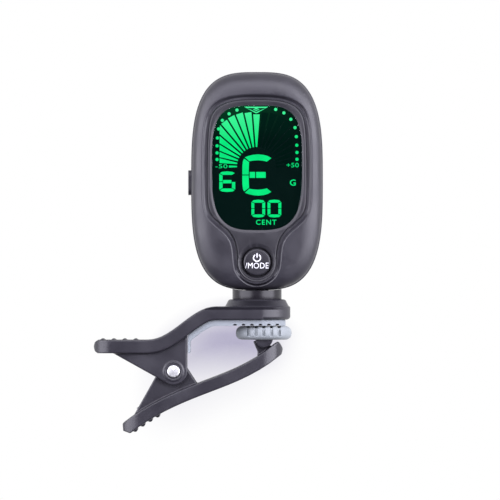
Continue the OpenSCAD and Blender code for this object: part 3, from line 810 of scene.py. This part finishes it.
def wedge(angle, outer, pitch=FAN_PITCH, gap=0.19):
    """Bar of the fan at an angle left of vertical, its sides parallel to its neighbours'."""
    points = []
    for side, radii in ((-1, (FAN_IN, outer)), (1, (outer, FAN_IN))):
        for r in radii:
            half = side * (pitch / 2 - math.degrees(math.asin(gap / r)))
            t = math.radians(90 + angle + half)
            if r > FAN_IN:
                r = min(r, FAN_SIDE / max(abs(math.cos(t)), 1e-6))
            points.append((FAN[0] + r * math.cos(t), FAN[1] + r * math.sin(t)))
    return plate(points)


def seven_segments(x0, x1, z0, z1, t, names):
    """The named bars, t thick, of one seven-segment figure between two corners."""
    g, m, mid = 0.12, (z0 + z1) / 2, (x0 + x1) / 2
    h = t / 2
    bars = {
        "a": [(x0 + t * 0.8, z1 - 0.12), (mid, z1), (x1 - t * 0.8, z1 - 0.12),
              (x1 - g, z1 - 0.42), (x1 - t, z1 - t - 0.04), (x0 + t, z1 - t - 0.04),
              (x0 + g, z1 - 0.42)],
        "d": [(x0 + g, z0 + 0.42), (x0 + t, z0 + t + 0.04), (x1 - t, z0 + t + 0.04),
              (x1 - g, z0 + 0.42), (x1 - t * 0.8, z0 + 0.12), (mid, z0),
              (x0 + t * 0.8, z0 + 0.12)],
        "f": [(x0, z1 - 0.55), (x0 + t, z1 - t - 0.18), (x0 + t, m + 0.07), (x0, m + 0.07)],
        "b": [(x1, z1 - 0.55), (x1, m + 0.07), (x1 - t, m + 0.07), (x1 - t, z1 - t - 0.18)],
        "e": [(x0, z0 + 0.55), (x0, m - 0.07), (x0 + t, m - 0.07), (x0 + t, z0 + t + 0.18)],
        "c": [(x1, z0 + 0.55), (x1 - t, z0 + t + 0.18), (x1 - t, m - 0.07), (x1, m - 0.07)],
        "g": [(x0 + t + 0.1, m + h), (x1 - t - 0.1, m + h), (x1 - t - 0.1, m - h),
              (x0 + t + 0.1, m - h)]}
    return [plate(bars[name]) for name in names]


DOT_R = 0.37
DOTS = [(-4.56, 49.15), (-6.36, 48.3), (-7.9, 46.8), (-8.75, 44.85), (-9.02, 42.8),
        (-9.1, 41.0), (-9.1, 39.4), (-9.1, 37.9), (4.25, 49.3), (6.12, 48.5), (7.7, 47.05),
        (8.65, 45.15), (8.95, 43.1), (9.05, 41.15), (9.1, 39.5), (9.1, 37.95)]
lit = [wedge(FAN_PITCH * i, r) for i, r in enumerate(FAN_OUT)]
lit.append(wedge(90.0, *LAST_BAR))
lit += [plate(arc(x, z, DOT_R, 0, 342, 20)) for x, z in DOTS]
# Pointer outline over the fan, with a small solid one in it
lit += [plate([(-2.95, 49.92), (2.6, 49.92), (2.0, 49.62), (0.4, 49.62), (-0.17, 49.3),
               (-0.75, 49.62), (-2.35, 49.62)]),
        plate([(-2.95, 49.92), (-2.35, 49.62), (-0.19, 48.72), (-0.19, 48.38)]),
        plate([(2.6, 49.92), (-0.15, 48.38), (-0.15, 48.72), (2.0, 49.62)]),
        plate([(-0.95, 49.30), (-0.17, 48.93), (0.6, 49.30), (0.25, 49.36), (-0.17, 49.15),
               (-0.6, 49.36)])]
# Note letter: two halves of the stem, two curved bars, and a middle bar in two pieces
E_MID = 34.37
E_STEM = [(-3.36, 0.10), (-1.91, 0.10), (-1.86, 2.0), (-1.80, 2.93), (-2.95, 3.74),
          (-3.2, 3.2), (-3.33, 2.2)]
E_BAR = [(-2.77, 4.03), (-1.76, 3.13), (-0.8, 3.28), (0.28, 3.35), (1.3, 3.26), (2.24, 3.04),
         (3.26, 3.84), (2.45, 4.32), (1.5, 4.58), (0.28, 4.70), (-0.9, 4.60), (-1.9, 4.36)]
for outline in (E_STEM, E_BAR):
    lit.append(plate([(x, E_MID + h) for x, h in outline]))
    lit.append(plate([(x, E_MID - h) for x, h in outline][::-1]))
lit += [plate([(x0, E_MID - 0.66), (x1, E_MID - 0.66), (x1, E_MID + 0.7), (x0, E_MID + 0.7)])
        for x0, x1 in ((-1.68, -0.44), (-0.2, 1.98))]
lit += seven_segments(-8.6, -4.96, 30.5, 35.2, 0.76, "acdefg")
lit += seven_segments(-1.28, 1.85, 24.69, 28.76, 0.66, "abcdef")
lit += seven_segments(2.39, 5.52, 24.69, 28.76, 0.66, "abcdef")
verts, faces = join(lit)
add_mesh("display_lit", verts, faces, LIT, "head", sharp=20)

# The other side of the fan, unlit
unlit = [wedge(-FAN_PITCH * i, r) for i, r in enumerate(FAN_OUT) if i]
unlit.append(wedge(-90.0, *LAST_BAR))
verts, faces = join(unlit)
add_mesh("display_unlit", verts, faces, DIM, "head", sharp=20)


def label(name, words, x, z, y, width, height, mat, body, thick, bold, gap):
    """Raised lettering facing the reader, centred on x and z and filling width by height."""
    curve = bpy.data.curves.new(name, "FONT")
    curve.body = words
    curve.size = height * 1.35
    curve.align_x, curve.align_y = "CENTER", "CENTER"
    curve.extrude = thick / 2
    curve.offset = bold
    curve.space_character = gap
    curve.resolution_u = 3
    obj = bpy.data.objects.new(name, curve)
    scene.collection.objects.link(obj)
    mesh = bpy.data.meshes.new_from_object(
        obj.evaluated_get(bpy.context.evaluated_depsgraph_get()))
    bpy.data.objects.remove(obj)
    co = np.array([v.co for v in mesh.vertices])
    grow = np.array((width, height)) / (co.max(0) - co.min(0))[:2]
    mid = (co.max(0) + co.min(0)) / 2
    verts = [((c[0] - mid[0]) * grow[0] + x, y - c[2], (c[1] - mid[1]) * grow[1] + z)
             for c in co]
    faces = [tuple(p.vertices) for p in mesh.polygons]
    add_mesh(name, verts, faces, mat, body, sharp=20)


for name, words, x, z, width, height, bold, gap in (
        ("scale_low", "-50", -8.10, 36.36, 2.75, 0.92, 0.006, 1.04),
        ("scale_high", "+50", 8.10, 36.62, 2.80, 1.02, 0.006, 1.04),
        ("unit_word", "CENT", 2.08, 23.62, 4.66, 1.16, 0.022, 1.22),
        ("key_letter", "G", 8.14, 32.64, 1.36, 1.42, 0.030, 1.0)):
    label(name, words, x, z, PICTURE_Y, width, height, LIT, "head", 0.04, bold, gap)

# ---------- buttons ----------

BUTTON_R, BUTTON_Y, BUTTON_EDGE = 3.1, -5.86, 0.5


def mode_button():
    """Cap on its flange, the flange behind the bezel and the cap's edge rolled over."""
    profile = [(0.9, -3.52), (3.85, -3.52), (3.9, -3.6), (3.9, -3.95), (3.85, -4.0),
               (BUTTON_R, -4.02), (BUTTON_R, BUTTON_Y + BUTTON_EDGE)]
    profile += [(BUTTON_R - 0.42 * (1 - math.cos(math.radians(a))),
                 BUTTON_Y + BUTTON_EDGE - 0.46 * math.sin(math.radians(a)))
                for a in np.linspace(10, 90, 8)]
    profile += [(2.2, BUTTON_Y + 0.015), (1.1, BUTTON_Y), (0.02, BUTTON_Y)]
    verts, faces = revolve(profile, MODE)
    add_mesh("mode_button_cap", verts, faces, KEY, "mode_key", ("mode_button",), 35)


def power_mark():
    """On and off symbol: a broken ring and a bar through the break."""
    cx, cz, r, w = MODE[0], MODE[1] + 1.02, 0.80, 0.13
    outline = arc(cx, cz, r + w, 122, 418, 40) + arc(cx, cz, r - w, 418, 122, 40)
    bar = [(cx - 0.12, cz + 0.05), (cx + 0.12, cz + 0.05), (cx + 0.12, cz + 1.05),
           (cx - 0.12, cz + 1.05)]
    y = BUTTON_Y - 0.015
    ring_verts, _ = prism(outline, y, y + 0.05)
    n = len(outline)
    half = n // 2
    faces = []
    for i in range(half - 1):
        a, b, c, d = i, i + 1, n - 2 - i, n - 1 - i
        faces += [(a, b, c, d), (n + d, n + c, n + b, n + a), (a, n + a, n + b, b),
                  (d, c, n + c, n + d)]
    faces += [(0, n - 1, 2 * n - 1, n), (half - 1, n + half - 1, n + half, half)]
    verts, faces = join([(ring_verts, faces), prism(bar, y, y + 0.05)])
    add_mesh("power_mark", verts, faces, PRINT, "mode_key", sharp=20)


mode_button()
power_mark()
label("mode_word", "/MODE", MODE[0] - 0.02, MODE[1] - 0.75, BUTTON_Y, 5.3, 1.32, PRINT,
      "mode_key", 0.05, 0.0, 1.04)
soft_skin("side_button", SHELL, "side_key", 0.07, 4, 0.5)

# ---------- clip ----------

soft_skin("upper_jaw", UPPER, "upper_clip", 0.15, 5, 0.45)
soft_skin("lower_jaw", CLIP, "lower_clip", 0.15, 5, 0.45)
soft_skin("pad_foot", CLIP, "grip_pad", 0.11, 4, 0.5)
soft_skin("upper_pad", RUBBER, "upper_clip", 0.10, 5, 0.45)
soft_skin("lower_pad", PAD_RUBBER, "grip_pad", 0.10, 5, 0.45)


def shade_web(name, x0, x1, y, z0, z1, body):
    """Thin dark web that closes the far side of the rubber's cross grooves, painted shade seen
    through them.
    """
    ease = 0.08
    outline = [(x0, z0 + ease), (x0 + ease, z0), (x1 - ease, z0), (x1, z0 + ease),
               (x1, z1 - ease), (x1 - ease, z1), (x0 + ease, z1), (x0, z1 - ease)]
    verts, faces = prism(outline, y, y + 0.5)
    add_mesh(name, verts, faces, GROOVE_SHADE, body, sharp=30)


# Dark webs behind the liner's and pad's cross grooves: painted shade where the grooves would lie
# in shadow
shade_web("liner_groove_shade", -5.6, 5.2, 3.4, 0.03, 0.47, "upper_clip")
shade_web("pad_groove_shade", -2.9, 5.96, 3.9, -0.56, -0.09, "grip_pad")
soft_skin("battery_door", SHELL, "door", 0.12, 4, 0.45, level=(0.0, 1.0, 0.0))

PIVOT = (-19.0, -10.3)


def pivot_pin():
    """Turned pin, its front face softly domed and marked by a small dent above centre."""
    face = [(r, -7.10 + 0.05 * (r / 1.2) ** 2) for r in np.linspace(0.02, 1.2, 14)]
    profile = face + [(1.30, -7.0), (1.38, -6.92), (1.45, -6.74), (1.45, 6.72), (1.36, 6.92),
                      (1.18, 7.04), (0.8, 7.10), (0.02, 7.12)]
    verts, faces = revolve(profile, PIVOT)
    dent = np.array((PIVOT[0], PIVOT[1] + 0.75))
    marked = []
    for x, y, z in verts:
        if y < -6.95:
            away = math.hypot(x - dent[0], z - dent[1])
            y += 0.16 * math.exp(-(away / 0.19) ** 2)
        marked.append((x, y, z))
    add_mesh("pivot_pin_turned", marked, faces, POLISHED, "upper_clip",
             ("pivot_pin",), 35)


def spring():
    """Torsion spring: round wire along leg, coil and leg, between the levers."""
    coil_r, half, wire, turns, inner_half = 2.65, 2.6, 0.44, 4, 2.05
    upper, lower = np.array((-29.5, -6.75)), np.array((-27.27, -19.15))
    pivot = np.array(PIVOT)

    def tangent(p, side):
        d = p - pivot
        return math.atan2(d[1], d[0]) + side * math.acos(coil_r / np.linalg.norm(d))

    a0, a1 = tangent(upper, -1), tangent(lower, 1) - 2 * math.pi
    sweep = a0 - a1 + 2 * math.pi * (turns - 1)
    n = 220
    coil = [(pivot[0] + coil_r * math.cos(a0 - sweep * i / n), half * (2 * i / n - 1),
             pivot[1] + coil_r * math.sin(a0 - sweep * i / n)) for i in range(n + 1)]
    start, stop = np.array(coil[0]), np.array(coil[-1])
    leg0 = np.array((upper[0], -half, upper[1]))
    leg1 = np.array((lower[0], half, lower[1]))
    path = [leg0 + (start - leg0) * t for t in np.linspace(0, 1, 10, endpoint=False)]
    path += [np.array(c) for c in coil]
    path += [stop + (leg1 - stop) * t for t in np.linspace(0, 1, 10)[1:]]
    path = np.array(path)
    rings = []
    for i, p in enumerate(path):
        t = path[min(i + 1, len(path) - 1)] - path[max(i - 1, 0)]
        t /= np.linalg.norm(t)
        u = np.cross(t, (0, 1, 0))
        u /= np.linalg.norm(u)
        v = np.cross(u, t)
        rings.append([tuple(p + wire * (math.cos(a) * u + math.sin(a) * v))
                      for a in np.linspace(0, 2 * math.pi, 16, endpoint=False)])
    verts, faces = loft(rings, cap_start=True, cap_end=True)
    obj = add_mesh("jaw_spring_wire", verts, faces, SPRING, None,
                   ("jaw_spring",), 40)
    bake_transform(obj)


pivot_pin()
spring()

# ---------- neck ----------

NECK_R, NECK_TOP, NECK_FOOT = 5.6, 8.0, 6.03
STUB_R, STUB_FOOT = 2.6, 2.86
SADDLE_Y = 1.15


def turret():
    """Glossy turret on its stub, the front of its rim rising to meet the head's underside."""
    angles = np.linspace(0, 2 * math.pi, 180, endpoint=False)
    underside = inward(head_dense, -0.03)
    low = underside[underside[:, 1] < HEAD_Z]
    low = low[np.argsort(low[:, 0])]

    def top(x, y):
        if y > SADDLE_Y:
            return NECK_TOP
        rise = float(np.interp(x, low[:, 0], low[:, 1])) - NECK_TOP
        return NECK_TOP + max(rise, 0.0) * min(1.0, (SADDLE_Y - y) / 0.25)

    def ring(r, z):
        return [(r * math.cos(a), r * math.sin(a), z) for a in angles]

    def rim(r, drop):
        return [(r * math.cos(a), r * math.sin(a), top(r * math.cos(a), r * math.sin(a)) - drop)
                for a in angles]

    rings = [ring(STUB_R, STUB_FOOT), ring(STUB_R, NECK_FOOT), ring(NECK_R - 0.12, NECK_FOOT),
             ring(NECK_R - 0.04, NECK_FOOT + 0.04), ring(NECK_R, NECK_FOOT + 0.13),
             ring(NECK_R, 7.0), rim(NECK_R, 0.06), rim(NECK_R - 0.06, 0.0)]
    rings += [rim(r, 0.0) for r in np.linspace(NECK_R - 0.4, 0.2, 14)]
    verts, faces = loft(rings, cap_start=True, cap_end=True)
    add_mesh("neck_turret", verts, faces, GLOSS, "neck", ("neck_post",), 35)


def tongue():
    """Tilt tongue above the turret, drilled for the pin, its edges eased."""
    y, z, r, bore, half, ease = 3.0, 11.9, 2.2, 0.95, 2.6, 0.2
    foot = NECK_TOP - 0.1
    outline = [(y + 2.1, foot)] + arc(y, z, r, -12, 192, 40) + [(y - 2.1, foot)]
    center = np.array((y, z - 1.0))
    hole = [(y + bore * math.cos(a), z + bore * math.sin(a)) for a in
            [math.atan2(p[1] - z, p[0] - y) for p in outline]]
    shrink = [tuple(center + (np.array(p) - center) * (1 - ease / 3.0)) for p in outline]
    rings = [[(-half, *p) for p in hole], [(-half, *p) for p in shrink],
             [(-half + ease, *p) for p in outline], [(half - ease, *p) for p in outline],
             [(half, *p) for p in shrink], [(half, *p) for p in hole]]
    verts, faces = loft(rings, wrap=True)
    add_mesh("neck_tongue", verts, faces, GLOSS, "neck", sharp=40)


turret()
tongue()

# ---------- camera, floor and light ----------

PX_PER_MM, PICTURE_PX = 4.383, 500
CAMERA_D, SENSOR = 2000.0, 36.0
VIEW_X, VIEW_Z = -1.6, 17.29
camera_data = bpy.data.cameras.new("camera")
camera_data.sensor_width = SENSOR
camera_data.lens = SENSOR * CAMERA_D / (PICTURE_PX / PX_PER_MM)
camera_data.clip_start, camera_data.clip_end = 0.1, 20.0
camera = bpy.data.objects.new("camera", camera_data)
camera.location = (VIEW_X * MM, -CAMERA_D * MM, VIEW_Z * MM)
camera.rotation_euler = (math.radians(90), 0, 0)
scene.collection.objects.link(camera)
scene.camera = camera


def vanishing(name, shade, low, high, center, inner, outer, lift=None):
    """White surround with painted shade where the object stands close to it, near black in narrow
    crevices.

    It is seen only from its front, and fades out as the cosine of the angle of view falls
    from high to low and as the distance from center grows from inner to outer. lift is
    (low height, high height, share): the shade is paler by share at the low height.
    """
    mat, tree, out = new_material(name)
    glow = add_node(tree, "Emission")
    near = add_node(tree, "AmbientOcclusion", {"Distance": 14 * MM})
    near.samples = 16
    open_sky = spread(tree, near.outputs["AO"], 0.0, 1.0, (0.25, 0.82))
    # Painted shade from how closely the object hems in each point: nearly black in crevices, the
    # shade colour in the open, white further off
    closed = spread(tree, near.outputs["AO"], 0.0, 1.0, (0.03, 0.16))
    crevice_shade = tuple(0.08 * c for c in shade)
    painted_surround = mix_color(tree, open_sky, mix_color(tree, closed, crevice_shade, shade), (1.0, 1.0, 1.0))
    geometry = add_node(tree, "NewGeometry")
    if lift:
        height = along(tree, geometry.outputs["Position"], "Z")
        painted_surround = mix_color(tree, spread(tree, height, lift[2], 0.0, lift[:2]),
                          painted_surround, (1.0, 1.0, 1.0))
    link(tree, painted_surround, glow.inputs["Color"])
    path = add_node(tree, "LightPath")
    facing = dot_product(tree, geometry.outputs["Normal"], geometry.outputs["Incoming"])
    away = add_node(tree, "VectorMath")
    away.operation = "DISTANCE"
    link(tree, geometry.outputs["Position"], away.inputs[0])
    away.inputs[1].default_value = center
    factors = [spread(tree, facing.outputs["Value"], 0.0, 1.0, (low, high)),
               spread(tree, away.outputs["Value"], 1.0, 0.0, (inner, outer)),
               spread(tree, geometry.outputs["Backfacing"], 1.0, 0.0, (0.4, 0.6)),
               path.outputs["Is Camera Ray"]]
    shown = factors[0]
    for factor in factors[1:]:
        shown = times(tree, shown, factor)
    clear = add_node(tree, "BsdfTransparent")
    link(tree, mix_shaders(tree, shown, clear.outputs["BSDF"], glow.outputs["Emission"]),
         out.inputs["Surface"])
    return mat


def stage_sheet(name, corners, mat):
    """Sheet of the set, in the way of no light."""
    mesh = bpy.data.meshes.new(name)
    mesh.from_pydata(corners, [], [(0, 1, 2, 3)])
    mesh.materials.append(mat)
    obj = bpy.data.objects.new(name, mesh)
    scene.collection.objects.link(obj)
    obj.visible_shadow = False


FLOOR_Z = cad_bounds[0][2] - 0.0003
SHEET_Y = 0.0086
SHEET_HALF = 0.6
CORNERS = [(-SHEET_HALF, -SHEET_HALF), (SHEET_HALF, -SHEET_HALF), (SHEET_HALF, SHEET_HALF),
           (-SHEET_HALF, SHEET_HALF)]
# Floor and backdrop carry a painted shadow of the object, drawn from ambient occlusion
stage_sheet("floor", [(a, b, FLOOR_Z) for a, b in CORNERS],
            vanishing("floor_painted_shade", (0.42, 0.41, 0.46), 0.12, 0.24, (-0.012, 0, FLOOR_Z),
                      0.06, 0.22))
stage_sheet("backdrop", [(a, SHEET_Y, b) for a, b in CORNERS],
            vanishing("backdrop_painted_shade", (0.34, 0.31, 0.50), 0.975, 0.99,
                      (-0.006, SHEET_Y, -0.016), 0.012, 0.023, (-0.012, -0.002, 0.70)))


LAVENDER = (0.95, 0.935, 1.06)
BOX_D = 0.6
AIM = Vector((0.0, 0.0, 0.018))


def softbox(name, azimuth, elevation, width, height, radiance):
    """Area light BOX_D from the object; azimuth is from the reader's side, right positive."""
    az, el = math.radians(azimuth), math.radians(elevation)
    data = bpy.data.lights.new(name, "AREA")
    data.shape = "RECTANGLE"
    data.size, data.size_y = width, height
    data.energy = math.pi * width * height * radiance
    data.color = LAVENDER
    obj = bpy.data.objects.new(name, data)
    obj.location = AIM + BOX_D * Vector((math.sin(az) * math.cos(el),
                                         -math.cos(az) * math.cos(el), math.sin(el)))
    obj.rotation_euler = (AIM - obj.location).to_track_quat("-Z", "Y").to_euler()
    obj.visible_camera = False
    scene.collection.objects.link(obj)


softbox("box_left", -57, 8, 0.72, 0.54, 5.0)
softbox("box_right", 54, 9, 0.72, 0.54, 6.5)
softbox("box_top", 0, 37, 0.60, 0.25, 4.7)

# White behind and round the sides, dark from the reader's side and a little below it. The
# camera itself sees plain white.
world = bpy.data.worlds.new("world")
world.use_nodes = True
tree = world.node_tree
tree.nodes.clear()
out = add_node(tree, "OutputWorld")
background = add_node(tree, "Background", {"Strength": 1.0})
coord = add_node(tree, "TexCoord")
turn = dot_product(tree, coord.outputs["Generated"])
turn.inputs[1].default_value = Vector((0.0, -0.92, -0.39)).normalized()
round_about = spread(tree, turn.outputs["Value"], 1.0, 0.0, (-0.10, 0.75))
seen = add_node(tree, "LightPath")
link(tree, mix_color(tree, seen.outputs["Is Camera Ray"],
                     mix_color(tree, round_about, (0.0, 0.0, 0.0), (1.0, 1.0, 1.02)),
                     (1.0, 1.0, 1.0)), background.inputs["Color"])
link(tree, background.outputs["Background"], out.inputs["Surface"])
scene.world = world
scene.view_settings.view_transform = "Standard"
